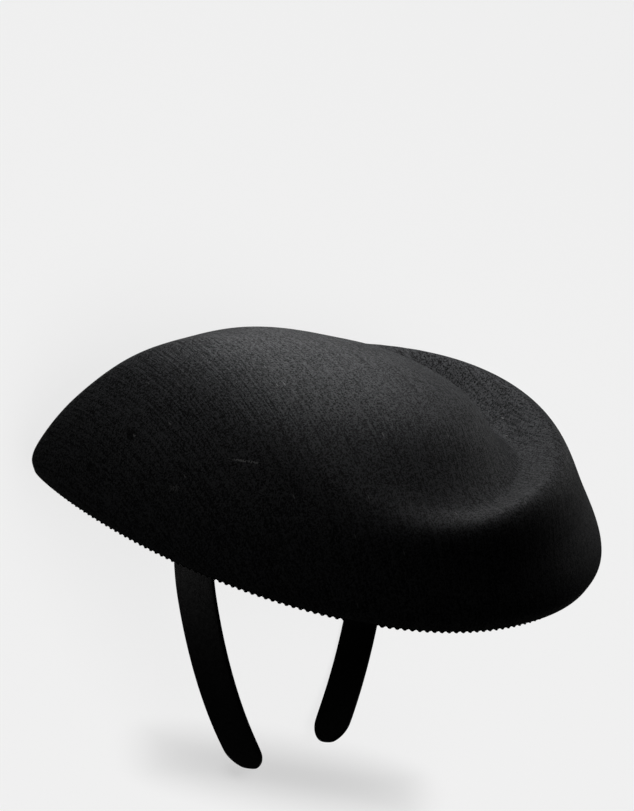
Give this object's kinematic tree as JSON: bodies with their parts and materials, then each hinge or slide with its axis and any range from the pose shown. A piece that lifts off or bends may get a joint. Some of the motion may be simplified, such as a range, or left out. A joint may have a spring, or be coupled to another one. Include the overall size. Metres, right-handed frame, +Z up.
{
  "type": "fascinator percher hat",
  "caption": "Black cloth-covered percher hat: a hollow teardrop crown with a crescent lip, carried on a flat bowed headband.",
  "frame": {"origin": "middle of the ground that the hat covers as it lies by itself, at the ground's height", "axes": "+Z is up as it lies by itself; +X is the way the headband's legs point, seen from above; the hat lies on the high side's leg and on the crown's edge beside its point"},
  "size_m": [0.1518, 0.1806, 0.1446],
  "materials": {
    "crown_cloth": "matte slubbed silk or linen",
    "trim_ribbon": "matte ribbon with a picot edge",
    "band_cloth": "soft satin",
    "pad_felt": "matte felt"
  },
  "bodies": {
    "root": {"crown": "crown_cloth", "picot_trim": "trim_ribbon", "headband": "band_cloth", "band_pad": "pad_felt"}
  },
  "joints": []
}
